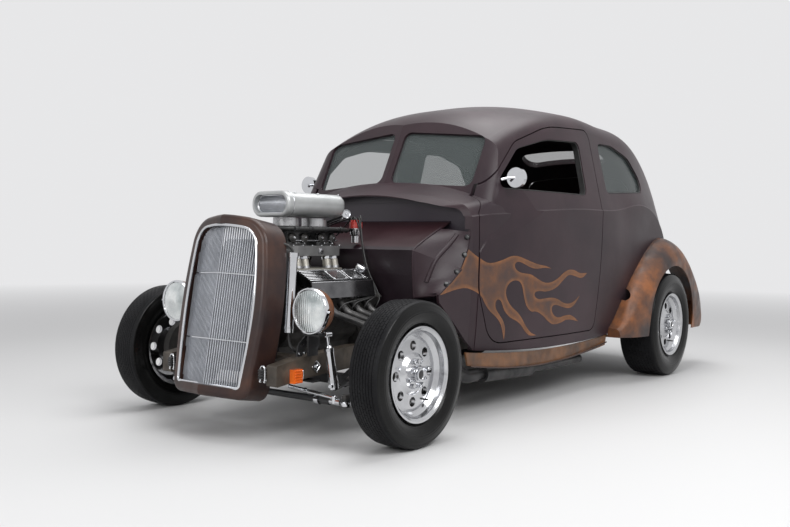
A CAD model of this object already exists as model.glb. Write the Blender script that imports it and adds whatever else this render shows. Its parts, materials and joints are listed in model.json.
import bmesh
import bpy
import json
import math
from itertools import product
from mathutils import Matrix, Vector, geometry
from mathutils.bvhtree import BVHTree


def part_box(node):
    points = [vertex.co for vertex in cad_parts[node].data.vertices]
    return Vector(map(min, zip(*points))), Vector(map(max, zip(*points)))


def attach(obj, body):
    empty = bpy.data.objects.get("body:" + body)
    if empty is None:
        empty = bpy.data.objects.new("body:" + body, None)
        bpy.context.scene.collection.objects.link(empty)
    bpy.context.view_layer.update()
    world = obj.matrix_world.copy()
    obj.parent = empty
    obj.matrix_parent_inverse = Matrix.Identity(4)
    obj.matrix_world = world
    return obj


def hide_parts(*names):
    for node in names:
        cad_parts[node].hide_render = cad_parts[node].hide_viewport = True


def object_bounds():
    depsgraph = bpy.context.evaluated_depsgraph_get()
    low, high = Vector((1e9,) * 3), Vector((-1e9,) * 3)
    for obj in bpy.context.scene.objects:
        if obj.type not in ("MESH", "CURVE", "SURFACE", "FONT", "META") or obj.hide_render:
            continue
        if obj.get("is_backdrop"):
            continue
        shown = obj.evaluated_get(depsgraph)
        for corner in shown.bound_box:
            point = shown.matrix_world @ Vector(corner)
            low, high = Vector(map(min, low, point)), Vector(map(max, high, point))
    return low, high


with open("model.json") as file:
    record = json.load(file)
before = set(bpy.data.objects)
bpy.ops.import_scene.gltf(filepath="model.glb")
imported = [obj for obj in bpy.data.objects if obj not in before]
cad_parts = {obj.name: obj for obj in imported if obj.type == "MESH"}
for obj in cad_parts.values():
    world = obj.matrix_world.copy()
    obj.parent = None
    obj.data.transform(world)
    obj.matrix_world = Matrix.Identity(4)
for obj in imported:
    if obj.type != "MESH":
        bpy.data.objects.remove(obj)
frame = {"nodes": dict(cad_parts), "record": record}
cad_box = [list(corner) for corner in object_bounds()]
nodes = frame["nodes"]
scene = bpy.context.scene

# Stations b run back from the front axle. Sizes of pieces and arguments of at3 and on_side are in
# millimetres; points, outlines on the panels and the stage are in metres.
FRONT_AXLE = 1580


def at3(b, y, z):
    """Point from station, side and height."""
    return Vector(((FRONT_AXLE - b) / 1000, y / 1000, z / 1000))


def mirrored(b, y, z):
    """Point on the right side that matches one on the left."""
    return at3(b, -y, z)


def on_side(b, z):
    """Point in the plane of a side view, from station and height."""
    return Vector(((FRONT_AXLE - b) / 1000, z / 1000))


# Sign of y, name, and the builder of points of each side
SIDES = ((1, "left", at3), (-1, "right", mirrored))


# ---- shader nodes
def node_material(name):
    """New material, with its node tree and its main shader."""
    mat = bpy.data.materials.new(name)
    mat.use_nodes = True
    return mat, mat.node_tree, mat.node_tree.nodes["Principled BSDF"]


def feed(node, inputs):
    """Set the inputs of a node: numbers, colours, or sockets to link."""
    for key, value in inputs.items():
        if hasattr(value, "node"):
            node.id_data.links.new(value, node.inputs[key])
        else:
            node.inputs[key].default_value = (*value, 1) if isinstance(value, tuple) else value


def add(tree, kind, inputs=None, out=0, **settings):
    """New shader node with its settings and inputs; gives one of its outputs."""
    node = tree.nodes.new("ShaderNode" + kind)
    for key, value in settings.items():
        setattr(node, key, value)
    feed(node, inputs or {})
    return node.outputs[out]


def on_piece(tree):
    """Object coordinates: the pattern stays with the piece."""
    return add(tree, "TexCoord", out="Object")


def noise(tree, scale, detail=4, rough=0.55):
    """Noise from 0 to 1 that stays with the piece."""
    inputs = {"Vector": on_piece(tree), "Scale": scale, "Detail": detail, "Roughness": rough}
    return add(tree, "TexNoise", inputs, "Fac")


def ramp(tree, value, stops):
    """Colour over a value, from (place, colour) pairs."""
    colour = add(tree, "ValToRGB", {"Fac": value}, "Color")
    elements = colour.node.color_ramp.elements
    while len(elements) < len(stops):
        elements.new(0.5)
    for element, (position, shade) in zip(elements, stops):
        element.position = position
        element.color = (*shade, 1)
    return colour


def level(tree, value, low, high, start=0.0, end=1.0):
    """Value from start to end, carried over to low to high."""
    inputs = {"Value": value, "From Min": start, "From Max": end, "To Min": low, "To Max": high}
    return add(tree, "MapRange", inputs, "Result")


def mix(tree, fac, a, b, blend="MIX"):
    """Mix of two colours, which are inputs 6 and 7 of the node."""
    return add(tree, "Mix", {"Factor": fac, 6: a, 7: b}, 2, data_type="RGBA", blend_type=blend)


def bump(tree, height, strength, distance=0.001):
    """Normals tilted by a height."""
    return add(tree, "Bump", {"Strength": strength, "Distance": distance, "Height": height}, "Normal")


def combine(tree, operation, a, b):
    """Two values joined by one operation of arithmetic."""
    return add(tree, "Math", {0: a, 1: b}, operation=operation)


def surface(name, colours, rough, metallic=0.0, scale=6.0, grain=(180.0, 0.15), coat=0.0, detail=5,
            spread=(0.35, 0.65), spec=0.5):
    """Mottled surface: colours over noise, uneven gloss and a fine bump."""
    mat, tree, bsdf = node_material(name)
    step = (spread[1] - spread[0]) / (len(colours) - 1)
    stops = [(spread[0] + i * step, [c / 1000 for c in colour]) for i, colour in enumerate(colours)]
    feed(bsdf, {
        "Base Color": ramp(tree, noise(tree, scale, detail, 0.6), stops),
        "Metallic": metallic,
        "Specular IOR Level": spec,
        "Roughness": level(tree, noise(tree, scale * 2.3, 3), *rough, 0.3, 0.7),
        "Coat Weight": coat,
        "Coat Roughness": 0.1,
        "Normal": bump(tree, noise(tree, grain[0], 2), grain[1]),
    })
    return mat


def glass(name, tint, rough, alpha):
    """Clear pane: reflects at its face and lets most light straight through."""
    mat, tree, bsdf = node_material(name)
    feed(bsdf, {
        "Base Color": ramp(tree, noise(tree, 3.0), [(0.4, tint), (0.6, [0.96 * c for c in tint])]),
        "Roughness": level(tree, noise(tree, 5.0), rough, rough * 1.5),
        "Alpha": alpha,
        "IOR": 1.5,
    })
    return mat


def banded(name, axis, bands, rough, metallic, scale=12.0, bump_strength=0.25):
    """Finish that changes at stated places along one axis: (place in metres, colour) pairs."""
    mat, tree, bsdf = node_material(name)
    low, high = bands[0][0], bands[-1][0] + 0.1
    where = level(tree, add(tree, "SeparateXYZ", {0: on_piece(tree)}, axis), 0.0, 1.0, low, high)
    tone = ramp(tree, where, [((start - low) / (high - low), colour) for start, colour in bands])
    tone.node.color_ramp.interpolation = "CONSTANT"
    shade = ramp(tree, noise(tree, scale, 5), [(0.35, [0.78] * 3), (0.65, [1.0] * 3)])
    feed(bsdf, {
        "Base Color": mix(tree, 1.0, tone, shade, "MULTIPLY"),
        "Roughness": level(tree, noise(tree, scale * 2), *rough, 0.3, 0.7),
        "Metallic": metallic,
        "Normal": bump(tree, noise(tree, 500, 2), bump_strength),
    })
    return mat


# ---- finishes
# Colours from dark to light in thousandths, lowest and highest roughness, and what differs from a plain
# surface; grain is the scale and the strength of the fine bump
FINISHES = {
    "body_paint": ([(19, 10, 14), (26, 14, 18), (34, 18, 23)], (0.34, 0.42),
                   dict(scale=2.2, grain=(420, 0.04), spec=0.28)),
    "shell_steel": ([(20, 11, 11), (34, 17, 14), (60, 27, 18)], (0.28, 0.42),
                    dict(scale=5, coat=0.04, spec=0.3)),
    "rusty_steel": ([(20, 14, 14), (48, 24, 18), (115, 44, 18), (240, 82, 24)], (0.32, 0.60),
                    dict(scale=4.5, detail=9, spread=(0.34, 0.68), grain=(90, 0.2))),
    "sill_rust": ([(35, 20, 14), (100, 43, 16), (170, 70, 22)], (0.32, 0.55),
                  dict(detail=8, spread=(0.34, 0.62), grain=(90, 0.2))),
    "firewall_paint": ([(75, 50, 60), (100, 70, 80)], (0.35, 0.5), dict(scale=3)),
    "frame_steel": ([(30, 24, 18), (55, 44, 34), (95, 76, 58)], (0.4, 0.65),
                    dict(scale=9, grain=(180, 0.2))),
    "chrome": ([(600, 610, 630), (680, 690, 710)], (0.04, 0.09),
               dict(metallic=1.0, scale=5, grain=(180, 0.01))),
    "polished_aluminium": ([(480, 485, 500), (580, 585, 600)], (0.12, 0.22),
                           dict(metallic=1.0, scale=9, grain=(180, 0.03))),
    "cast_aluminium": ([(300, 300, 310), (420, 420, 430)], (0.38, 0.55),
                       dict(metallic=1.0, scale=16, grain=(700, 0.35))),
    "cast_iron": ([(35, 34, 33), (70, 66, 62)], (0.45, 0.65),
                  dict(metallic=0.4, scale=12, grain=(500, 0.35))),
    "black_paint": ([(12, 12, 13), (24, 24, 25)], (0.28, 0.42), dict(scale=8, grain=(180, 0.08))),
    "black_plastic": ([(12, 12, 12), (22, 22, 22)], (0.45, 0.6), dict(scale=14, grain=(900, 0.3))),
    "tyre": ([(6, 6, 7), (11, 11, 12)], (0.40, 0.55), dict(scale=10, grain=(800, 0.2), spec=0.12)),
    "tyre_wall": ([(3, 3, 3), (6, 6, 6)], (0.16, 0.26), dict(scale=9, grain=(500, 0.04), spec=0.2)),
    "satin_silver": ([(400, 410, 410), (500, 510, 510)], (0.30, 0.40),
                     dict(metallic=0.55, scale=7, grain=(600, 0.05))),
    "dark_alloy": ([(100, 100, 105), (200, 200, 205)], (0.14, 0.26),
                   dict(metallic=1.0, grain=(500, 0.04), spec=0.2)),
    "grille_bright": ([(620, 640, 680), (740, 760, 800)], (0.16, 0.26),
                      dict(metallic=0.7, scale=9, grain=(180, 0.02))),
    "bucket_rust": ([(100, 38, 16), (200, 72, 24)], (0.3, 0.5), dict(scale=14)),
    "dark_pipe": ([(40, 40, 42), (85, 83, 82)], (0.3, 0.55),
                  dict(metallic=0.8, scale=8, grain=(180, 0.1))),
    "dark_fabric": ([(16, 14, 14), (30, 27, 26)], (0.5, 0.7), dict(scale=20, grain=(900, 0.4))),
    "red_plastic": ([(280, 22, 18), (360, 30, 22)], (0.25, 0.35), dict(scale=12)),
    "red_lens": ([(320, 10, 10), (420, 14, 12)], (0.08, 0.14), dict(scale=12, coat=0.5)),
    "amber_lens": ([(750, 130, 15), (850, 170, 20)], (0.12, 0.2), dict(scale=12, coat=0.4)),
}
M = {name: surface(name, colours, rough, **more) for name, (colours, rough, more) in FINISHES.items()}
M["glass"] = glass("glass", (0.11, 0.13, 0.13), 0.04, 0.36)
M["clear_lens"] = glass("clear_lens", (0.80, 0.83, 0.85), 0.04, 0.35)
POLISHED, RUBBER = "polished_aluminium", "black_plastic"


def finish(obj, mat):
    """Give an object one material and no other."""
    obj.data.materials.clear()
    obj.data.materials.append(mat)


for part in frame["record"]["subparts"]:
    if part["node"] in nodes:
        finish(nodes[part["node"]], M[part["material_slot"]])
for name, mat in {
    "scoop": M["satin_silver"],
    "valve_covers": M["dark_alloy"],
    "headlight_buckets": M["bucket_rust"],
    "sill_strips": M["sill_rust"],
    "radiator": M["black_paint"],
    "intake_manifold": banded(
        "intake_finish", 2, [(0.60, (0.45, 0.43, 0.38)), (0.805, [0.22] * 3)], (0.3, 0.45), 0.5),
    "carburettors": banded(
        "carburettor_finish", 2, [(0.80, [0.10] * 3), (0.917, [0.012] * 3), (0.949, (0.55, 0.55, 0.56))],
        (0.22, 0.4), 0.6),
    "firewall": banded(
        "firewall_finish", 0, [(0.5, (0.040, 0.031, 0.042)), (0.858, (0.030, 0.010, 0.013)),
                               (1.148, (0.016, 0.009, 0.013))], (0.3, 0.42), 0.0, 3.0, 0.03),
}.items():
    finish(nodes[name], mat)


# ---- camera, stage and light
# The camera as solved from the photograph: its angles here, its lens and its place below
yaw, pitch, roll = 3.7936, math.radians(-1.518), math.radians(0.672)
look = Vector((math.cos(yaw) * math.cos(pitch), math.sin(yaw) * math.cos(pitch), math.sin(pitch)))
level_right = look.cross(Vector((0, 0, 1))).normalized()
level_up = level_right.cross(look)
right = math.cos(roll) * level_right + math.sin(roll) * level_up
up = -math.sin(roll) * level_right + math.cos(roll) * level_up
camera = bpy.data.objects.new("camera", bpy.data.cameras.new("camera"))
scene.collection.objects.link(camera)
camera.data.sensor_width = 36
camera.data.lens = 41.26
camera.data.clip_end = 200
stand = Matrix.Translation(at3(-3112.2, 3079.5, 889.6))
camera.matrix_world = stand @ Matrix((right, up, -look)).transposed().to_4x4()
scene.camera = camera
scene.view_settings.view_transform = "Standard"

BACKDROP = (0.80, 0.80, 0.81)


def seen(tree):
    """1 for the rays that show a surface, 0 for those that carry its light."""
    rays = tree.nodes.new("ShaderNodeLightPath").outputs
    shown = combine(tree, "MAXIMUM", rays["Is Camera Ray"], rays["Is Glossy Ray"])
    return combine(tree, "MAXIMUM", shown, rays["Is Transmission Ray"])


stage_mat, tree, bsdf = node_material("stage_floor")
feed(bsdf, {"Base Color": (0.62, 0.62, 0.62), "Roughness": 0.6})
bpy.ops.mesh.primitive_plane_add(size=60, location=(0, 0, 0))
floor = bpy.context.object
floor.name = "floor"
floor.data.materials.append(stage_mat)
floor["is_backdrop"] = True
# Far from the car the floor takes on the backdrop's colour, for the rays that show it
reach = add(tree, "VectorMath", {0: on_piece(tree)}, "Value", operation="LENGTH")
blend = combine(tree, "MULTIPLY", seen(tree), level(tree, reach, 0.0, 1.0, 4.2, 13.0))
glow = add(tree, "Emission", {"Color": BACKDROP})
floor_shader = add(tree, "MixShader", {0: blend, 1: bsdf.outputs[0], 2: glow})
feed(tree.nodes["Material Output"], {"Surface": floor_shader})

world = bpy.data.worlds.new("studio")
scene.world = world
world.use_nodes = True
tree = world.node_tree
height = add(tree, "SeparateXYZ", {0: add(tree, "TexCoord", out="Generated")}, "Z")
sky = ramp(tree, height, [(0.0, (0.16, 0.16, 0.165)), (0.10, (0.30, 0.30, 0.31)),
                          (0.38, (0.42, 0.42, 0.43)), (0.80, (0.55, 0.55, 0.56))])
feed(tree.nodes["Background"], {"Color": mix(tree, seen(tree), sky, BACKDROP)})

for name, where, towards, size, power in (
        ("key", (2.2, 4.6, 4.2), (0, 0.4, 0.7), (4.0, 2.5), 210),
        ("overhead", (-0.4, 0.2, 5.0), (-0.4, 0, 0), (5.0, 3.0), 170),
        ("front", (6.5, 0.5, 2.8), (1.2, 0, 0.7), (3.0, 2.0), 90)):
    lamp = bpy.data.lights.new(name, "AREA")
    lamp.shape = "RECTANGLE"
    lamp.size, lamp.size_y = size
    lamp.energy = power
    obj = bpy.data.objects.new(name, lamp)
    scene.collection.objects.link(obj)
    obj.location = where
    obj.rotation_euler = (Vector(towards) - Vector(where)).to_track_quat("-Z", "Y").to_euler()


# ---- pieces
def mesh_object(name, verts, faces, mat):
    """Smooth-shaded object with its faces turned outward."""
    mesh = bpy.data.meshes.new(name)
    mesh.from_pydata([tuple(v) for v in verts], [], faces)
    mesh.validate()
    bm = bmesh.new()
    bm.from_mesh(mesh)
    bmesh.ops.recalc_face_normals(bm, faces=bm.faces)
    return bmesh_object(mesh, bm, mat)


def bmesh_object(mesh, bm, mat):
    """Object from a mesh and the shape that it takes, smooth-shaded."""
    bm.to_mesh(mesh)
    bm.free()
    for p in mesh.polygons:
        p.use_smooth = True
    mesh.materials.append(mat)
    obj = bpy.data.objects.new(mesh.name, mesh)
    scene.collection.objects.link(obj)
    return obj


def sharpen(obj, degrees):
    """Smooth shading that keeps edges steeper than the angle."""
    bm = bmesh.new()
    bm.from_mesh(obj.data)
    bmesh.ops.remove_doubles(bm, verts=bm.verts, dist=1e-6)
    for f in bm.faces:
        f.smooth = True
    for e in bm.edges:
        e.smooth = e.is_manifold and e.calc_face_angle(0) < math.radians(degrees)
    bm.to_mesh(obj.data)
    bm.free()
    return obj


def put(obj, body="chassis"):
    """Carry a finished piece on its body and name its finish."""
    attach(obj, body)
    return obj


def solid(name, verts, faces, slot, angle, body="chassis"):
    """Piece from points and faces, with its steep edges kept."""
    return put(sharpen(mesh_object(name, verts, faces, M[slot]), angle), body)


def skin_faces(rows, n, ring=True, closed=False, base=0):
    """Faces between rows of n points: ring closes each row, closed joins the last row to the first."""
    quads = []
    for i in range(rows if closed else rows - 1):
        a, b = base + i * n, base + (i + 1) % rows * n
        quads += [(a + k, a + (k + 1) % n, b + (k + 1) % n, b + k) for k in range(n if ring else n - 1)]
    return quads


def end_faces(rows, n, base=0):
    """Faces over the first and the last row of n points."""
    return [list(range(base, base + n)), list(range(base + (rows - 1) * n, base + rows * n))]


def turned(name, profile, origin, axis, slot="chrome", body="chassis", steps=32, angle=35):
    """Piece turned about an axis through a point, from a profile of (along, radius)."""
    axis = Vector(axis).normalized()
    side = axis.orthogonal().normalized()
    other = axis.cross(side)
    verts = []
    for i in range(steps):
        a = 2 * math.pi * i / steps
        out = side * math.cos(a) + other * math.sin(a)
        verts += [Vector(origin) + axis * (u / 1000) + out * (r / 1000) for u, r in profile]
    faces = skin_faces(steps, len(profile), ring=False, closed=True)
    return solid(name, verts, faces, slot, angle, body)


def rod(name, start, end, radius, slot="chrome", body="chassis", steps=20):
    """Turned bar between two points, with softened ends."""
    start, end = Vector(start), Vector(end)
    length = (end - start).length * 1000
    soft = min(0.25 * radius, 0.2 * length)
    profile = [(0, 0), (0, radius - soft), (soft, radius), (length - soft, radius),
               (length, radius - soft), (length, 0)]
    return turned(name, profile, start, end - start, slot, body, steps)


def sleeve(name, low, high, inner, outer, origin, axis, slot="chrome", body="chassis"):
    """Short tube round an axis, from low to high along it."""
    ring = [(low, inner), (low, outer), (high, outer), (high, inner)]
    return turned(name, ring, origin, axis, slot, body)


def bolt(name, seat, axis, size, body="chassis"):
    """Hexagon head on a washer."""
    head = [(0, 0), (0, size * 1.25), (size * 0.18, size * 1.25), (size * 0.22, size),
            (size * 0.75, size), (size * 0.95, size * 0.8), (size * 0.95, 0)]
    return turned(name, head, seat, axis, body=body, steps=6, angle=20)


def axes_along(direction, up=(0, 0, 1)):
    """Right-handed axes with the first along a direction."""
    x = Vector(direction).normalized()
    y = Vector(up).cross(x)
    if y.length < 1e-6:
        y = Vector((0, 1, 0))
    y.normalize()
    return x, y, x.cross(y)


def block(name, centre, size, slot, up=(0, 0, 1), soft=3.0):
    """Box with rounded edges, its length along the car."""
    bm = bmesh.new()
    bmesh.ops.create_cube(bm, size=1.0)
    for v in bm.verts:
        v.co = Vector([c * s / 1000 for c, s in zip(v.co, size)])
    bmesh.ops.bevel(bm, geom=bm.edges[:], offset=min(soft, 0.45 * min(size)) / 1000, segments=2,
                    profile=0.5, affect="EDGES")
    x, y, z = axes_along((1, 0, 0), up)
    for v in bm.verts:
        v.co = centre + x * v.co.x + y * v.co.y + z * v.co.z
    obj = bmesh_object(bpy.data.meshes.new(name), bm, M[slot])
    return put(sharpen(obj, 40))


def strap(name, points, across, width, thick, slot="chrome", body="chassis"):
    """Flat strip of even width along points, across one direction."""
    verts, n = [], len(points)
    side = Vector(across).normalized()
    for i, p in enumerate(points):
        run = (Vector(points[min(i + 1, n - 1)]) - Vector(points[max(i - 1, 0)])).normalized()
        out = run.cross(side).normalized()
        for s, o in ((-1, 0), (1, 0), (1, 1), (-1, 1)):
            verts.append(Vector(p) + side * (s * width / 2000) + out * (o * thick / 1000))
    return solid(name, verts, skin_faces(n, 4) + end_faces(n, 4), slot, 50, body)


def wire(name, points, radius, slot="chrome", body="chassis", cyclic=False):
    """Hose, wire or moulding along smooth points."""
    curve = bpy.data.curves.new(name, "CURVE")
    curve.dimensions = "3D"
    curve.bevel_depth = radius / 1000
    curve.bevel_resolution = 4
    curve.resolution_u = 10
    curve.use_fill_caps = True
    spline = curve.splines.new("NURBS")
    spline.points.add(len(points) - 1)
    for p, place in zip(spline.points, points):
        p.co = (*place, 1)
    spline.order_u = min(4, len(points))
    spline.use_endpoint_u = not cyclic
    spline.use_cyclic_u = cyclic
    obj = bpy.data.objects.new(name, curve)
    scene.collection.objects.link(obj)
    curve.materials.append(M[slot])
    return put(obj, body)


def tree_of(*names):
    """Ray target of some CAD nodes together."""
    verts, polys = [], []
    for name in names:
        mesh = nodes[name].data
        base = len(verts)
        verts += [v.co.copy() for v in mesh.vertices]
        polys += [[base + i for i in p.vertices] for p in mesh.polygons]
    return BVHTree.FromPolygons(verts, polys)


# Distance from the middle at which rays from beside the car start
BESIDE = 1.3


def hit_from(side, target, x, z):
    """Where a ray from beside the car first meets a target."""
    return target.ray_cast(Vector((x, side * BESIDE, z)), Vector((0, -side, 0)))[0]


# ---- outlines in a plane
def rounded(points, radii, step_deg=9):
    """Closed outline with its corners rounded."""
    out, n = [], len(points)
    for i in range(n):
        p = Vector(points[i])
        a = (Vector(points[i - 1]) - p).normalized()
        b = (Vector(points[(i + 1) % n]) - p).normalized()
        turn = math.pi - a.angle(b)
        if radii[i] <= 0 or turn < 0.02:
            out.append(p)
            continue
        run = radii[i] * math.tan(turn / 2)
        centre = p + (a + b).normalized() * (radii[i] / math.cos(turn / 2))
        first = p + a * run - centre
        last = p + b * run - centre
        sign = 1 if first.x * last.y - first.y * last.x > 0 else -1
        steps = max(2, int(math.degrees(turn) / step_deg))
        for k in range(steps + 1):
            t = sign * turn * k / steps
            c, s = math.cos(t), math.sin(t)
            out.append(centre + Vector((first.x * c - first.y * s, first.x * s + first.y * c)))
    return out


def grown(outline, amount):
    """Outline moved outward by an amount, for a gently curved closed outline."""
    n = len(outline)
    area = sum(outline[i - 1].x * outline[i].y - outline[i].x * outline[i - 1].y for i in range(n))
    sign = 1 if area > 0 else -1
    out = []
    for i in range(n):
        t = (outline[(i + 1) % n] - outline[i - 1]).normalized()
        out.append(outline[i] + Vector((t.y, -t.x)) * amount * sign)
    return out


def crossings(outline, axis, place):
    """Where an outline meets the line on which one coordinate has a stated value."""
    out = []
    for i in range(len(outline)):
        a, c = outline[i - 1], outline[i]
        if (a[axis] > place) != (c[axis] > place):
            slope = (c[1 - axis] - a[1 - axis]) / (c[axis] - a[axis])
            out.append(a[1 - axis] + slope * (place - a[axis]))
    return out


def inside(p, outline):
    """Whether a point lies within a closed outline."""
    return sum(x > p.x for x in crossings(outline, 1, p.y)) % 2 == 1


def edge_distance(p, outline):
    """Shortest way from a point to a closed outline."""
    best = math.inf
    for i in range(len(outline)):
        a, b = outline[i - 1], outline[i]
        d = b - a
        t = max(0.0, min(1.0, (p - a).dot(d) / max(d.length_squared, 1e-12)))
        best = min(best, (p - a - d * t).length)
    return best


def soft_outline(points, tips):
    """Closed outline with its corners cut twice, apart from the tips."""
    pts = [(Vector(p), i in tips) for i, p in enumerate(points)]
    for _ in range(2):
        out = []
        for i, (p, tip) in enumerate(pts):
            q, q_tip = pts[(i + 1) % len(pts)]
            if tip:
                out += [(p, True), (p.lerp(q, 0.3), False)]
            else:
                out.append((p.lerp(q, 0.25), False))
                if not q_tip:
                    out.append((p.lerp(q, 0.75), False))
        pts = out
    return [p for p, tip in pts]


# ---- painted flames
# Station and height, in millimetres
FLAME = [
    (656, 847), (721, 812), (800, 775), (855, 777), (924, 790), (987, 809), (1040, 813),
    (1095, 802), (1174, 780), (1256, 762), (1326, 755), (1383, 739), (1319, 748), (1244, 739),
    (1177, 747), (1111, 770), (1062, 784), (1029, 771), (1034, 744), (1081, 722), (1144, 716),
    (1188, 711), (1249, 685), (1321, 661), (1391, 662), (1462, 684), (1526, 719), (1585, 732),
    (1649, 725), (1707, 705), (1797, 707), (1767, 684), (1710, 678), (1634, 696), (1571, 703),
    (1507, 666), (1444, 629), (1351, 611), (1272, 620), (1228, 615), (1228, 590), (1271, 572),
    (1332, 576), (1402, 579), (1470, 568), (1542, 539), (1613, 533), (1674, 550), (1726, 579),
    (1686, 532), (1618, 506), (1537, 517), (1458, 537), (1418, 532), (1411, 506), (1443, 474),
    (1496, 458), (1571, 470), (1643, 469), (1737, 424), (1610, 452), (1527, 429), (1445, 423),
    (1393, 443), (1323, 485), (1258, 510), (1206, 508), (1158, 540), (1129, 594), (1112, 644),
    (1085, 677), (1037, 685), (991, 672), (964, 640), (968, 600), (1011, 551), (1085, 511),
    (1124, 480), (1167, 436), (1219, 395), (1282, 376), (1230, 372), (1174, 398), (1131, 438),
    (1084, 466), (1020, 486), (968, 521), (945, 554), (928, 582), (899, 591), (881, 572),
    (888, 540), (924, 507), (962, 473), (985, 431), (982, 371), (960, 425), (937, 466),
    (893, 501), (839, 531), (792, 576), (771, 608), (731, 632), (677, 650), (630, 656),
    (580, 652), (520, 642), (470, 632), (436, 626), (437, 634), (480, 659), (529, 688),
    (566, 720), (601, 750), (630, 796), (655, 840),
]
FLAME_TIPS = (11, 30, 48, 59, 80, 95)
DOOR = [(745, 1020), (745, 640), (860, 362), (1955, 362), (1970, 700), (1970, 1560), (1480, 1535),
        (1150, 1420), (880, 1175), (800, 1075)]
DOOR_RADII = [60, 260, 150, 60, 0, 60, 700, 160, 60, 60]
DOOR_GAP = 0.006
# The paint stops this far short of the gap's edges
PAINT_MARGIN = 0.0012


def panel_outline(corners, radii, step_deg=9):
    """Rounded outline in the plane of a side view."""
    return rounded([on_side(*p) for p in corners], [r / 1000 for r in radii], step_deg)


flame = soft_outline([on_side(*p) for p in FLAME], FLAME_TIPS)
door = panel_outline(DOOR, DOOR_RADII)
door_edge = grown(door, -PAINT_MARGIN)
gap_edge = grown(door, DOOR_GAP + PAINT_MARGIN)


def decal(name, outline, cut, within, side, node, body):
    """Painted shape on a side panel, within a cut line or outside it: triangles cast sideways on it."""
    step, clear, lift = 0.014, 0.003, 0.0007
    pts, n = outline + cut, len(outline)
    edges = [(n + i, n + (i + 1) % len(cut)) for i in range(len(cut))]
    left, low = min(p.x for p in outline), min(p.y for p in outline)
    for i in range(int((max(p.x for p in outline) - left) / step) + 1):
        for j in range(int((max(p.y for p in outline) - low) / step) + 1):
            p = Vector((left + (i + 0.5 * (j % 2)) * step, low + j * step))
            if inside(p, outline) and edge_distance(p, outline) > clear:
                pts.append(p)
    plane_pts, _, plane_faces, *_ = geometry.delaunay_2d_cdt(pts, edges, [list(range(n))], 0, 1e-6)
    target = tree_of(node)
    verts, index, faces, margins = [], {}, [], []
    for f in plane_faces:
        centre = sum((plane_pts[i] for i in f), Vector((0, 0))) / len(f)
        if not inside(centre, outline) or inside(centre, cut) != within:
            continue
        for i in f:
            if i not in index:
                p = plane_pts[i]
                hit = hit_from(side, target, p.x, p.y)
                index[i] = None if hit is None else len(verts)
                if hit is not None:
                    verts.append(hit + Vector((0, side * lift, 0)))
                    margins.append(edge_distance(p, outline))
        if None not in (row := [index[i] for i in f]):
            faces.append(row)
    obj = mesh_object(name, verts, faces, flame_mat)
    layer = obj.data.attributes.new("edge", "FLOAT", "POINT")
    layer.data.foreach_set("value", margins)
    put(obj, body)


flame_mat, tree, bsdf = node_material("flame_patina")
edge_in = add(tree, "Attribute", attribute_name="edge", out="Fac")
mottle = noise(tree, 9.0, 8, 0.65)
middle = ramp(tree, mottle, [(0.34, (0.044, 0.022, 0.018)), (0.52, (0.085, 0.037, 0.020)),
                             (0.68, (0.14, 0.056, 0.022))])
rim = ramp(tree, noise(tree, 14.0, 6), [(0.35, (0.13, 0.052, 0.018)), (0.65, (0.23, 0.090, 0.030))])
feed(bsdf, {
    "Base Color": mix(tree, level(tree, edge_in, 0.0, 1.0, 0.0, 0.022), rim, middle),
    "Roughness": level(tree, mottle, 0.42, 0.62, 0.3, 0.7),
    "Normal": bump(tree, noise(tree, 160, 4), 0.15),
})
for side, tag, spot in SIDES:
    decal(f"flame_door_{tag}", flame, door_edge, True, side, f"door_{tag}", f"door_{tag}")
    decal(f"flame_body_{tag}", flame, gap_edge, False, side, "body_shell", "chassis")


# ---- grille
SHELL_LEAN = math.radians(9.6)
SHELL_VEE = math.radians(14.0)
SHELL_CORNERS = [(243, 0), (283, 440), (226, 792), (0, 814), (-226, 792), (-283, 440), (-243, 0)]
SHELL_RADII = [65, 1500, 140, 900, 140, 1500, 65]
BAR_GAP, BARS_EACH_SIDE, FRAME_WIDE = 0.0118, 21, 0.049
# Section of a bar: place across and out of the face, with a rounded front and a flat back
BAR_SECTION = [(-0.0018, -0.035), (-0.0018, -0.029), (-0.0009, -0.0265), (0.0009, -0.0265),
               (0.0018, -0.029), (0.0018, -0.035)]
shell_foot = at3(-498, 0, 200)
shell_out = Vector((math.cos(SHELL_LEAN), 0, math.sin(SHELL_LEAN)))
shell_up = Vector((-math.sin(SHELL_LEAN), 0, math.cos(SHELL_LEAN)))
shell_line = rounded([(y / 1000, h / 1000) for y, h in SHELL_CORNERS], [r / 1000 for r in SHELL_RADII], 6)
insert_line = grown(shell_line, -FRAME_WIDE)


def on_shell(y, h, proud):
    """Point of the V face from its place across and up the face, in metres."""
    return shell_foot + Vector((0, y, 0)) + shell_up * h + shell_out * (proud - abs(y) * math.tan(SHELL_VEE))


verts, faces = [], []
n = len(BAR_SECTION)
for k in range(-BARS_EACH_SIDE, BARS_EACH_SIDE + 1):
    heights = crossings(insert_line, 0, k * BAR_GAP)
    if len(heights) < 2:
        continue
    faces += skin_faces(2, n, base=len(verts)) + end_faces(2, n, len(verts))
    verts += [on_shell(k * BAR_GAP + y, h, out) for h in (min(heights), max(heights))
              for y, out in BAR_SECTION]
grille = solid("grille_bars", verts, faces, "chrome", 30)
finish(grille, M["grille_bright"])
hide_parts("grille_insert")
for k, h in enumerate((0.250, 0.545)):
    half = max(crossings(insert_line, 1, h))
    strap(f"grille_rod_{k}", [on_shell(half * part, h, -0.027) for part in (-1, -0.5, 0, 0.5, 1)],
          shell_up, 4.5, 3)
wire("grille_ring", [on_shell(*p, -0.003) for p in grown(shell_line, -0.048)], 6.5, cyclic=True)

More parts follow.
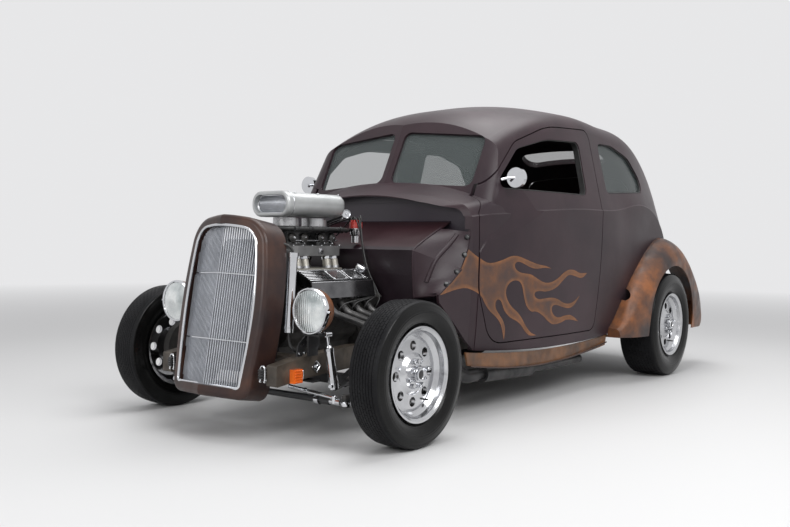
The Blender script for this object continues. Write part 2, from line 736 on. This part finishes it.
# ---- headlights and signals
lens_mat, tree, bsdf = node_material("lamp_glass")
flutes = add(tree, "TexWave", {"Vector": on_piece(tree), "Scale": 26.0, "Distortion": 1.6}, "Fac",
             bands_direction="Y")
feed(bsdf, {
    "Base Color": ramp(tree, noise(tree, 9.0, 3), [
        (0.32, (0.34, 0.38, 0.38)), (0.5, (0.62, 0.66, 0.66)), (0.68, (0.86, 0.88, 0.87))]),
    "Metallic": 0.75,
    "Coat Weight": 1.0,
    "Coat Roughness": 0.03,
    "Roughness": level(tree, noise(tree, 16.0), 0.10, 0.26, 0.3, 0.7),
    "Normal": bump(tree, flutes, 0.35, 0.002),
})
finish(nodes["headlight_lenses"], lens_mat)
low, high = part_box("turn_signals")
signal_x, signal_y = (low[0] + high[0]) / 2, high[1] + 0.0003
for side, tag, spot in SIDES:
    ring = [(-16, 95.5), (-16, 101.8), (-4, 102.2), (3, 98.5), (3.5, 93.5), (0.5, 90.5), (-4, 90.5)]
    turned(f"lamp_ring_{tag}", ring, spot(-257, 440, 578), (1, 0, 0), steps=56)
    # Clamp screw at the outer side of the ring
    rod(f"lamp_screw_{tag}", spot(-249, 541, 578), spot(-249, 552, 578), 6, steps=12)
    stud = [(0, 0), (0, 20), (6, 22), (12, 16), (20, 14.5), (34, 17), (42, 14.5), (42, 0)]
    turned(f"lamp_stud_{tag}", stud, spot(-207, 440, 476), (0, 0, 1))
    for k in range(5):
        z = low[2] + (high[2] - low[2]) * (k + 0.5) / 5
        rod(f"signal_rib_{tag}_{k}", (signal_x - 0.020, side * signal_y, z),
            (signal_x + 0.020, side * signal_y, z), 3.2, "amber_lens", steps=10)

# ---- air scoop
MOUTH_WIDE, MOUTH_HIGH, MOUTH_CORNER, MOUTH_MIDDLE = 212, 88, 42, 1052
MESH_GAP = 6.9


def mouth_half(across, wide, high):
    """Half height of the rounded mouth at a distance across, a little short of its rim."""
    over = max(abs(across) - (wide / 2 - MOUTH_CORNER), 0)
    return high / 2 - MOUTH_CORNER + math.sqrt(MOUTH_CORNER**2 - over**2) - 0.3


def bars(name, lines, radius, mat, sides=6):
    """Many thin straight bars as one piece."""
    verts, faces = [], []
    for start, end in lines:
        x, y, z = axes_along(end - start)
        faces += skin_faces(2, sides, base=len(verts)) + end_faces(2, sides, len(verts))
        turns = [2 * math.pi * k / sides for k in range(sides)]
        verts += [p + (y * (radius * math.cos(a)) + z * (radius * math.sin(a))) / 1000
                  for p in (start, end) for a in turns]
    put(mesh_object(name, verts, faces, mat))


lines = []
for k in range(-15, 16):
    h = mouth_half(k * MESH_GAP, MOUTH_WIDE, MOUTH_HIGH)
    lines.append([at3(-30, k * MESH_GAP, MOUTH_MIDDLE + e * h) for e in (-1, 1)])
for k in range(-6, 7):
    h = mouth_half(k * MESH_GAP, MOUTH_HIGH, MOUTH_WIDE)
    lines.append([at3(-28.2, e * h, MOUTH_MIDDLE + k * MESH_GAP) for e in (-1, 1)])
bars("scoop_mesh", lines, 1.7, M["grille_bright"])
for name, b, half_wide, low, high, corner, radius in (
        ("scoop_frame", -33, 104, 1010, 1094, 40, 3.4), ("scoop_seam", -21, 124, 991, 1113, 57, 1.6)):
    line = rounded([(-half_wide, low), (half_wide, low), (half_wide, high), (-half_wide, high)],
                   [corner] * 4, 8)
    wire(name, [at3(b, *p) for p in line], radius, cyclic=True)
for k in range(6):
    turned(f"scoop_screw_{k}", [(0, 0), (0, 6.2), (1.2, 6), (2.6, 3.5), (3, 0)],
           at3((20, 180, 330)[k // 2], -88 if k % 2 else 88, 1108.4), (0, 0, 1), steps=16)
# Round knob at the tail of the scoop, on its stem
turned("scoop_knob", [(-14, 0), (-14, 17), (-4, 21), (0, 22.5), (5, 22.5), (6, 20.5), (2, 18), (1, 6),
                      (4, 4), (4, 0)], at3(379, 100, 1015), (0.45, 0.75, 0.05))
rod("scoop_knob_stem", at3(384, 94, 1014), at3(376, 70, 985), 5)

# ---- fuel lines, carburettors and intake
for side, tag, spot in SIDES:
    route = ((-66, 40, 936), (-68, 96, 936), (-8, 119, 937), (90, 119, 934), (190, 119, 936),
             (300, 119, 938), (395, 112, 934), (425, 60, 930))
    wire(f"fuel_hose_{tag}", [spot(*p) for p in route], 10.5, RUBBER)
    for k, b in enumerate((-4, 92, 204, 318)):
        turned(f"hose_cuff_{tag}_{k}", [(0, 0), (0, 12), (6, 13.5), (20, 13.5), (26, 12), (26, 0)],
               spot(b + 13, 119, 936), (1, 0, 0), "black_paint", steps=10, angle=25)
    # Throttle shaft, its arms and the float bowls beside them
    rod(f"throttle_rod_{tag}", spot(-8, 84, 880), spot(330, 84, 880), 3.6)
    for k, b in enumerate((20, 78, 222, 280)):
        bowl_b = b + (12 if k % 2 else -12)
        block(f"throttle_arm_{tag}_{k}", spot(b, 84, 890), (8, 10, 32), POLISHED, soft=2)
        turned(f"bowl_{tag}_{k}", [(0, 0), (0, 21), (4, 23), (12, 23), (15, 19), (20, 10), (22, 0)],
               spot(bowl_b, 75, 893), (0, side, 0), "cast_iron")
        bolt(f"bowl_nut_{tag}_{k}", spot(bowl_b, 96, 893), (0, side, 0), 5.5)
        rod(f"idle_screw_{tag}_{k}", spot(b, 76, 868), spot(b, 99, 866), 3.5, steps=12)
    # Clamps round the intake runners, and bolts and a plug on the plenum
    for k, b in enumerate((30, 82, 242, 296)):
        for j, (t, slot) in enumerate(((0.30, "chrome"), (0.74, "cast_aluminium"))):
            sleeve(f"runner_clamp_{tag}_{k}_{j}", -6, 6, 21.2, 23.6,
                   spot(b, 82 + 22 * t, 826 - 104 * t), (0, side * 22, -104), slot)
    for k in range(6):
        bolt(f"plenum_bolt_{tag}_{k}", spot(-2 + 66 * k, 98, 855), (0, 0, 1), 5)
    block(f"plenum_boss_{tag}", spot(180, 109, 830), (34, 12, 26), "cast_aluminium")
    turned(f"plenum_plug_{tag}", [(0, 0), (0, 10), (7, 9), (8, 0)],
           spot(180, 114, 830), (0, side, 0), steps=6)

# ---- valve covers
# The sloping top of a cover, from its outer edge to its ridge: side and height
COVER_EDGE, COVER_RIDGE = Vector((322, 690)), Vector((226, 742))
cover_width = (COVER_RIDGE - COVER_EDGE).length
cover_along = (COVER_RIDGE - COVER_EDGE).normalized()
cover_out = Vector((cover_along.y, -cover_along.x))


def on_cover(side, b, along, proud):
    """Point over the top of a valve cover, from its middle towards the ridge and out of it."""
    y, z = (COVER_EDGE + COVER_RIDGE) / 2 + cover_along * along + cover_out * proud
    return at3(b, side * y, z)


for side, tag, spot in SIDES:
    normal = Vector((0, side * cover_out.x, cover_out.y))
    for k in range(7):
        for j, (b0, b1) in enumerate(((-112, 48), (290, 322))):
            block(f"fin_edge_{tag}_{k}_{j}", on_cover(side, (b0 + b1) / 2, (k - 3) * 13, 4.9),
                  (b1 - b0, 4.2, 1.6), POLISHED, up=normal, soft=0.6)
    for j, (b, length) in enumerate(((105, 110), (228, 120))):
        a, c = length / 2 - 5, 41
        line = rounded([(-a, -c), (a, -c), (a, c), (-a, c)], [9] * 4, 15)
        wire(f"plate_edge_{tag}_{j}", [on_cover(side, b + x, y, 6.2) for x, y in line], 1.8,
             POLISHED, cyclic=True)
        for i, (x, y) in enumerate(((10 - a, -31), (a - 10, -31), (a - 10, 31), (10 - a, 31))):
            turned(f"plate_screw_{tag}_{j}_{i}", [(0, 0), (0, 5), (2.5, 4.2), (3, 0)],
                   on_cover(side, b + x, y, 6), normal, steps=14)
    for name, end in (("cover_rim", -1), ("cover_rim_top", 1)):
        wire(f"{name}_{tag}", [on_cover(side, b, end * (cover_width / 2 - 1.5), 0.6)
                               for b in (-112, 0, 105, 210, 322)], 2.4, POLISHED)
    # Filler cap on the left cover, and its twin as a vent on the right one
    cap = [(0, 14), (12, 14), (13, 27), (16, 29), (32, 29), (36, 26), (38, 20), (38.5, 0)]
    turned(f"filler_cap_{tag}", cap, on_cover(side, 306, 25, 0), normal, steps=40)

# ---- ignition
cap_foot = at3(432, 120, 0)
turned("distributor_body", [(871, 22.5), (905, 23.5), (915, 31), (939, 33.5), (942, 34.5), (944, 34.5),
                            (944, 30)], cap_foot, (0, 0, 1), POLISHED, steps=40)
turned("distributor_cap", [(944, 33.5), (958, 33.8), (972, 31.5), (975.5, 26), (976, 0)], cap_foot,
       (0, 0, 1), "red_plastic", steps=40)
plugs = [(side, spot, b) for side, _, spot in SIDES for b in (62, 152, 242, 332)]
for k, (side, spot, b) in enumerate(plugs):
    a = 2 * math.pi * (k + 0.5) / len(plugs)
    tower = cap_foot + Vector((0.023 * math.cos(a), 0.023 * math.sin(a), 0.972))
    turned(f"cap_tower_{k}", [(0, 6.2), (14, 5.5), (14.5, 0)], tower, (0, 0, 1), "red_plastic", steps=14)
    # Each lead runs a little above the one before it
    lift = 4 * (k % 4)
    route = ((420 - lift, 160 + lift, 935 + lift), (385 - lift, 205 + lift, 850), (362, 240 + lift, 740),
             (356, 300 + lift, 660), (max(b + 30, 338), 330 + 0.5 * lift, 606), (b + 12, 346, 596),
             (b + 2, 343, 574), (b, 330, 557))
    start = [tower + Vector((0, 0, 0.012)), tower + Vector((0, 0.004 * side, 0.040 + 0.002 * lift))]
    wire(f"plug_lead_{k}", start + [spot(*p) for p in route], 3.6, RUBBER)
    turned(f"plug_boot_{k}", [(0, 0), (0, 7.5), (26, 8.8), (30, 10), (38, 9.5), (42, 4.5), (42, 0)],
           spot(b, 302, 530), (0, side, 0.62), RUBBER, steps=18)
rod("cap_centre", at3(432, 120, 974), at3(432, 120, 992), 7.5, "red_plastic")
route = ((432, 120, 988), (432, 110, 1010), (448, 60, 985), (452, 10, 930), (450, -30, 905))
wire("coil_lead", [at3(*p) for p in route], 3.6, RUBBER)
turned("coil", [(0, 0), (0, 23), (4, 26), (90, 26), (94, 22), (100, 11), (114, 10), (114, 0)],
       at3(452, -160, 890), (0, 1, 0.05), "black_paint")

# ---- belt, hoses and radiator
BELT_B, CRANK_Z, PUMP_Z = -130, 400, 610
loop = [at3(BELT_B, r * math.cos(math.radians(d)), z + r * math.sin(math.radians(d)))
        for z, r, first in ((CRANK_Z, 76.5, 180), (PUMP_Z, 71.5, 0)) for d in range(first, first + 181, 12)]
strap("belt", loop + loop[:1], (1, 0, 0), 18, 3, RUBBER)
for z, r in ((CRANK_Z, 72), (PUMP_Z, 67)):
    turned(f"pulley_face_{z}", [(12, r), (12.5, r - 6), (7, r - 10), (7, 34), (14, 30), (18, 22), (18, 0)],
           at3(BELT_B, 0, z), (1, 0, 0), POLISHED, steps=48)
low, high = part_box("radiator")
# The hoses start at the back of the radiator
back_b, top_z = FRONT_AXLE - 1000 * low[0], 1000 * high[2]
for name, radius, route in (
        ("radiator_hose_top", 19, [
            (back_b - 10, 110, top_z - 55), (back_b + 30, 110, top_z - 55), (back_b + 75, 100, top_z - 62),
            (-150, 80, 800), (-85, 60, 768), (-30, 50, 752)]),
        ("radiator_hose_low", 21, [
            (back_b - 10, -130, 330), (back_b + 40, -130, 330), (-160, -125, 350), (-120, -110, 420),
            (-95, -100, 470)]),
        ("overflow_hose", 5.5, [
            (-173, 262, 824), (-175, 258, 850), (-205, 240, 868), (-235, 200, 872),
            (back_b - 10, 150, top_z - 12)]),
        ("overflow_drain", 7.5, [
            (-207, 272, 471), (-208, 274, 440), (-214, 285, 415), (-212, 300, 396), (-180, 306, 384)])):
    wire(name, [at3(*p) for p in route], radius, RUBBER)
sleeve("overflow_band_low", 0, 12, 22.2, 23.8, at3(-206, 271.7, 486),
       at3(-174, 262, 808) - at3(-207, 272, 470), POLISHED)

# ---- front suspension
# Lozenge boss: its place and outline, and the scale and height of its steps
BOSS_B, BOSS_Z, BOSS_HALF = -139, 322, 0.031
boss_line = rounded([(0, BOSS_HALF), (BOSS_HALF, 0), (0, -BOSS_HALF), (-BOSS_HALF, 0)], [0.006] * 4, 20)
BOSS_STEPS = ((1.0, 0), (0.94, 4), (0.74, 4.5), (0.62, 1.5))
n = len(boss_line)
for side, tag, spot in SIDES:
    # Leaf pack at the rail horn with bright U bolts
    for k in range(4):
        block(f"horn_leaf_{tag}_{k}", spot(-372, 299, 292 + 11 * k), (70, 29, 8.5), "black_paint", soft=2)
    for k, b in enumerate((-392, -354)):
        hoop = ((286, 272), (285, 322), (287, 340), (299, 343), (311, 340), (313, 322), (312, 272))
        wire(f"u_bolt_{tag}_{k}", [spot(b, y, z) for y, z in hoop], 4.2)
        for y in (286, 312):
            bolt(f"u_nut_{tag}_{k}_{y}", spot(b, y, 279), (0, 0, -1), 6.5)
    # Boss on the rail, below the lamp bracket
    verts = [spot(BOSS_B, 376.5 + out, BOSS_Z) + Vector((p.x * scale, 0, p.y * scale))
             for scale, out in BOSS_STEPS for p in boss_line]
    faces = skin_faces(4, n) + end_faces(4, n)[1:]
    solid(f"rail_boss_{tag}", verts, faces, POLISHED, 30)
    bolt(f"rail_boss_bolt_{tag}", spot(BOSS_B, 377.5, BOSS_Z), (0, side, 0), 9.5)
    # Bracket bolts through the arch feet
    for k, (b, z) in enumerate(((-258, 392), (-226, 392), (-205, 415), (-150, 415))):
        bolt(f"arch_bolt_{tag}_{k}", spot(b, 384.5, z), (0, side, 0), 6)
    route = ((-245, 378, 318), (-240, 392, 322), (-238, 396, 300), (-242, 392, 276), (-247, 380, 272))
    wire(f"signal_frame_{tag}", [spot(*p) for p in route], 3.5)
    # Tie rod clamp and the bright threaded ends
    sleeve(f"tie_clamp_{tag}", -12, 12, 19.2, 22.5, spot(-150, 402, 182), (0, 1, 0), body="tie_rod")
    bolt(f"tie_clamp_bolt_{tag}", spot(-160, 402, 204), (0, 0, 1), 6, body="tie_rod")
    rod(f"tie_end_{tag}", spot(-150, 428, 182), spot(-150, 536, 182), 15.6, body="tie_rod", steps=28)
    ball = [(0, 0), (0, 12), (4, 20.5), (12, 22.5), (21, 22.5), (30, 18), (33, 10), (34, 0)]
    turned(f"tie_ball_{tag}", ball, spot(-150, 560, 164), (0, 0, 1), body="tie_rod", steps=36)
    # Radius rods from the beam back to the rail
    for k, (z0, z1) in enumerate(((262, 300), (222, 282))):
        rod(f"radius_rod_{tag}_{k}", spot(26, 400, z0), spot(560, 392, z1), 11, "black_paint")
    # Damper: shaft collar, band, and the bolts through its eyes
    foot, top = spot(-121, 469, 228), spot(-121, 437, 395)
    line = (top - foot).normalized()
    turned(f"damper_collar_{tag}", [(0, 21.2), (0, 23.5), (14, 23.5), (18, 16), (26, 14), (26, 9)],
           top - line * 0.004, line, POLISHED)
    sleeve(f"damper_band_{tag}", 0, 10, 21.2, 22.8, foot + line * 0.030, line, POLISHED)
    rod(f"damper_bolt_low_{tag}", spot(-89, 469, 244), spot(-153, 469, 244), 10)
    rod(f"damper_bolt_top_{tag}", spot(-140, 423, 466), spot(-96, 423, 466), 12)
    # Perch that carries the damper's foot, ahead of the axle beam
    route = ((-16, 452, 252), (-40, 456, 240), (-88, 466, 232), (-132, 469, 226))
    strap(f"damper_perch_{tag}", [spot(*p) for p in route], (0, 1, 0), 34, 7, "black_paint")
link_start, link_end = at3(-166, 235, 224), at3(-156, 500, 198)
rod("drag_link", link_start, link_end, 9, body="tie_rod")
rod("drag_link_end", at3(-156, 500, 210), at3(-156, 500, 172), 12, body="tie_rod")
sleeve("drag_link_cuff", 0, 16, 9.2, 12, at3(-162.4, 330, 214.7), link_end - link_start, POLISHED, "tie_rod")

# ---- flared plates and cowl
plate_skin = tree_of("fender_mounts", "body_shell")


def on_plate(side, y, z):
    """Point of the flared plate at a side and height, met from the front, and its normal."""
    return plate_skin.ray_cast(at3(200, side * y, z), Vector((-1, 0, 0)))[:2]


for side, tag, spot in SIDES:
    # Pressed rib down the plate, then the row of bolts along its outer edge
    hits = [on_plate(side, 592 - 4.6 * k, 918 - 29 * k) for k in range(9)]
    wire(f"plate_rib_{tag}", [seat - 0.004 * normal for seat, normal in hits if seat is not None], 12.5,
         "body_paint")
    for k, (y, z) in enumerate(((640, 905), (648, 818), (646, 735), (640, 676))):
        seat, normal = on_plate(side, y, z)
        if seat is not None:
            turned(f"plate_bolt_{tag}_{k}", [(0, 0), (0, 13.5), (2, 14), (6, 12.5), (10.5, 8.5), (12, 0)],
                   seat, normal, "black_paint", steps=28)

# ---- body trims
# The lower edge of the sill rises as a parabola from 216 at b 1400 to 282 at b 580
SILL_LOW, SILL_HIGH, SILL_MIDDLE, SILL_FRONT = 216, 282, 1400, 580
WINDOWS = (
    ("door_window", [(905, 1160), (1815, 1160), (1815, 1478), (1450, 1462), (1165, 1390)],
     [38, 45, 45, 500, 130]),
    ("quarter_window", [(2085, 1185), (2790, 1222), (2560, 1440), (2300, 1500), (2085, 1496)],
     [35, 70, 160, 160, 45]),
)
# Spacing of points on a window's outline, and the least distance of the skin from the middle
WINDOW_STEP, SKIN_LEAST = 0.05, 0.45
PLATE_EDGE = [(643, 949), (524, 899), (399, 840), (407, 719), (418, 611)]
for side, tag, spot in SIDES:
    rise = (SILL_HIGH - SILL_LOW) / (SILL_FRONT - SILL_MIDDLE) ** 2
    wire(f"sill_lip_{tag}", [spot(b, 724, SILL_LOW + rise * (b - SILL_MIDDLE) ** 2 - 1)
                             for b in (585, *range(800, 2001, 200), 2145)], 4, "shell_steel")
    # Rubber that lines the window openings, and beads round the panes
    for name, corners, radii in WINDOWS:
        node, body = (f"door_{tag}",) * 2 if name == "door_window" else ("body_shell", "chassis")
        line = panel_outline(corners, radii, 7)
        dense = []
        for i, p in enumerate(line):
            q = line[(i + 1) % len(line)]
            parts = max(1, int((q - p).length / WINDOW_STEP))
            dense += [p.lerp(q, s / parts) for s in range(parts)]
        # The skin's distance from the middle, met just outside the opening
        skin = tree_of(node)
        hits = [hit_from(side, skin, q.x, q.y) for q in grown(dense, 0.006)]
        ys = [abs(hit.y) if hit is not None and abs(hit.y) > SKIN_LEAST else None for hit in hits]
        known = [y for y in ys if y is not None]
        ys = [sum(known) / len(known) if y is None else y for y in ys]
        lining, bead = ([Vector((p.x, side * (y - depth), p.y)) for p, y in zip(grown(dense, -inset), ys)]
                        for inset, depth in ((0.0012, 0.024), (0.003, 0.0085)))
        strap(f"{name}_lining_{tag}", lining + lining[:1], (0, 1, 0), 36, 1.2, RUBBER, body)
        wire(f"{name}_bead_{tag}", bead, 3.5, RUBBER, body, cyclic=True)
    # Rolled edge of the flared plate, where it meets the firewall box
    edge = [spot(b, 500, z + 1) for b, z in PLATE_EDGE]
    edge[2:3] = [edge[2].lerp(edge[1], 0.12), edge[2].lerp(edge[3], 0.10)]
    wire(f"plate_roll_{tag}", edge, 5, "body_paint")


# ---- seats
def cushion(name, centre, size, node, channels, tilt=0.0):
    """Crowned cushion in place of a seat's node, with pulled corners and sewn channels along it."""
    crown, seam_depth, seam_half = 0.035, 0.012, 0.11
    bm = bmesh.new()
    bmesh.ops.create_cube(bm, size=2.0)
    bmesh.ops.subdivide_edges(bm, edges=bm.edges[:], cuts=17, use_grid_fill=True)
    half = Vector(size) / 2000
    turn = Matrix.Rotation(math.radians(tilt), 3, "Y")
    seams = [-1 + 2 * k / channels for k in range(1, channels)]
    for v in bm.verts:
        u = v.co.copy()
        pull = 1 - 0.10 * (abs(u.x) ** 6 * abs(u.y) ** 6)
        z = half.z * u.z
        if u.z > 0:
            fall = (1 - abs(u.x) ** 4) * (1 - abs(u.y) ** 4)
            groove = max(0, *(1 - abs(u.y - seam) / seam_half for seam in seams))
            z -= crown * (1 - fall) * u.z + seam_depth * groove**1.5 * min(1.0, fall * 3)
        if abs(u.x) > 0.97 or abs(u.y) > 0.97:
            z *= 0.93
        v.co = centre + turn @ Vector((u.x * half.x * pull, u.y * half.y * pull, z))
    obj = bmesh_object(bpy.data.meshes.new(name), bm, M["dark_fabric"])
    bevel = obj.modifiers.new("round", "BEVEL")
    bevel.width = 0.018
    bevel.segments = 3
    bevel.limit_method = "ANGLE"
    put(obj)
    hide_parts(node)


for side, tag, spot in SIDES:
    cushion(f"seat_base_{tag}", spot(1475, 370, 545), (490, 430, 210), "front_seats", 5)
    cushion(f"seat_back_{tag}", spot(1762, 370, 735), (560, 425, 100), "front_seats", 5, -90)
cushion("bench_base", at3(2200, 0, 610), (460, 1080, 150), "rear_seat", 8)
cushion("bench_back", at3(2530, 0, 880), (420, 1080, 120), "rear_seat", 8, -72)


# ---- tyres with their tread, in metres
def arc3(a, b, c, count):
    """Points of the circle arc from a through b to c."""
    ax, ay, bx, by, cx, cy = *a, *b, *c
    d = 2 * (ax * (by - cy) + bx * (cy - ay) + cx * (ay - by))
    a2, b2, c2 = ax**2 + ay**2, bx**2 + by**2, cx**2 + cy**2
    ux = (a2 * (by - cy) + b2 * (cy - ay) + c2 * (ay - by)) / d
    uy = (a2 * (cx - bx) + b2 * (ax - cx) + c2 * (bx - ax)) / d
    r = math.hypot(ax - ux, ay - uy)
    t0, t1, t2 = (math.atan2(y - uy, x - ux) for x, y in (a, b, c))
    turn = (t2 - t0) % (2 * math.pi)
    if (t1 - t0) % (2 * math.pi) > turn:
        turn -= 2 * math.pi
    return [(ux + r * math.cos(t0 + turn * i / count), uy + r * math.sin(t0 + turn * i / count))
            for i in range(count + 1)]


RIM_R, BEAD_R = 0.2065, 0.196
# Place, tyre radius, width and rim width
TYRES = (("front", 0.3175, 0.165, 0.134), ("rear", 0.3425, 0.250, 0.228))
PITCHES = 72
# Grooves across the tread as parts of its half width, with half their width, depth and floor
GROOVES = (-0.82, -0.58, -0.35, -0.12, 0.12, 0.35, 0.58, 0.82)
GROOVE_HALF, GROOVE_DEEP, GROOVE_SLOPE, GROOVE_FLOOR = 0.0013, 0.0045, 0.0005, 0.0016
# Lines round the tyre in each pitch: the crossing, and both sipes with their walls
STOPS = (0.0, 0.20, 0.215, 0.265, 0.28, 0.70, 0.715, 0.765, 0.78)
SIPE_DEEP = 0.0025
EVEN_SIPE, ODD_SIPE = (0.71, 0.77), (0.21, 0.27)
# Fall of the crown at its edges, and how far below the crown the sidewall's finish starts
CROWN_FALL, WALL_BELOW = 0.004, 0.008


def tyre_side(radius, width, rim):
    """Bead, sidewall with raised rings and shoulder, from the rim outwards: (across, radius)."""
    half, bead = width / 2, rim / 2 - 0.015
    wall = arc3((bead, RIM_R + 0.0015), (half, (RIM_R + radius) / 2), (half * 0.93, radius - 0.022), 30)
    rises = {5: 0.0016, 6: 0.0016, 7: 0.0016, 20: 0.0011, 23: 0.0011}
    wall = [(y + rises.get(i, 0.0), r) for i, (y, r) in enumerate(wall)]
    shoulder = arc3((half * 0.93, radius - 0.022), (half * 0.88, radius - 0.009),
                    (half * 0.74, radius - 0.003), 6)
    return [(bead, BEAD_R)] + wall + shoulder[1:]


def tread_line(edge):
    """Columns across the tread: place, depth below the crown, and rib number or None in a groove."""
    marks = [-1.0, *GROOVES, 1.0]
    last = len(marks) - 2
    out = []
    for rib in range(last + 1):
        a = marks[rib] * edge + (GROOVE_HALF if rib else 0)
        b = marks[rib + 1] * edge - (GROOVE_HALF if rib < last else 0)
        out += [(a, 0.0, rib), ((a + b) / 2, 0.0, rib), (b, 0.0, rib)]
        if rib < last:
            out += [(b + GROOVE_SLOPE, GROOVE_DEEP, None),
                    (b + GROOVE_SLOPE + GROOVE_FLOOR, GROOVE_DEEP, None)]
    return out


for (place, radius, width, rim), (side, tag, spot) in product(TYRES, SIDES):
    node = f"tyre_{place}_{tag}"
    low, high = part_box(node)
    centre = (Vector(low) + Vector(high)) / 2
    flank = tyre_side(radius, width, rim)
    edge = flank.pop()[0]
    profile = [(y, r, None) for y, r in flank]
    profile += [(y, radius - CROWN_FALL * (y / edge) ** 2 - deep, rib)
                for y, deep, rib in reversed(tread_line(edge))]
    profile += [(-y, r, None) for y, r in reversed(flank)]
    verts, rings = [], PITCHES * len(STOPS)
    for i in range(rings):
        phase = STOPS[i % len(STOPS)]
        a = 2 * math.pi * (i // len(STOPS) + phase) / PITCHES
        for y, r, rib in profile:
            # Fine sipes across every rib but its outermost edges, staggered from rib to rib
            if rib is not None and abs(y) < edge * 0.995:
                low, high = ODD_SIPE if rib % 2 else EVEN_SIPE
                if low < phase < high:
                    r -= SIPE_DEEP
            verts.append(centre + Vector((r * math.cos(a), y, r * math.sin(a))))
    faces = skin_faces(rings, len(profile), closed=True)
    tyre = solid(f"{node}_tread", verts, faces, "tyre", 40, f"{place}_{tag}_wheel")
    tyre.data.materials.append(M["tyre_wall"])
    for p in tyre.data.polygons:
        off = p.center - centre
        p.material_index = int(math.hypot(off.x, off.z) < radius - WALL_BELOW)
    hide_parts(node)

# ---- hub caps, lug nuts and valves
HUB_RING = [(-4, 26.5), (4, 27.5), (8.5, 25.5), (9.5, 20.5), (6.5, 19), (6.5, 18.5)]
HUB_DISC = [(0, 18.8), (6.6, 18.6), (7.8, 14), (8.2, 0)]
LUG = [(-2, 0), (-2, 11.5), (2, 11.5), (2.2, 9.5), (14, 9.2), (17, 7.5), (17.5, 4.5), (12, 4.2), (12, 0)]
for place, (side, tag, spot) in product(("front", "rear"), SIDES):
    node, body = f"wheel_{place}_{tag}", f"{place}_{tag}_wheel"
    low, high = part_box(node)
    centre = (Vector(low) + Vector(high)) / 2
    disc = tree_of(node)
    out = Vector((0, side, 0))

    def on_wheel(radius, angle):
        """Point of the wheel's outer face at a radius and an angle."""
        return hit_from(side, disc, centre.x + radius * math.cos(angle),
                        centre.z + radius * math.sin(angle))

    hub = Vector((centre.x, on_wheel(0.004, 0.3).y, centre.z))
    turned(f"hub_ring_{place}_{tag}", HUB_RING, hub, out, body=body, steps=48)
    turned(f"hub_disc_{place}_{tag}", HUB_DISC, hub, out, "black_paint", body, steps=40)
    for k in range(8):
        seat = on_wheel(0.057, 2 * math.pi * (k + 0.5) / 8)
        turned(f"lug_{place}_{tag}_{k}", LUG, seat, out, body=body, steps=6, angle=25)
    valve = on_wheel(0.150, -2.2)
    rod(f"valve_{place}_{tag}", valve - out * 0.004, valve + out * 0.022, 4.2, RUBBER, body, 14)

size = {"cad": cad_box, "scene": [list(corner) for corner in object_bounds()]}
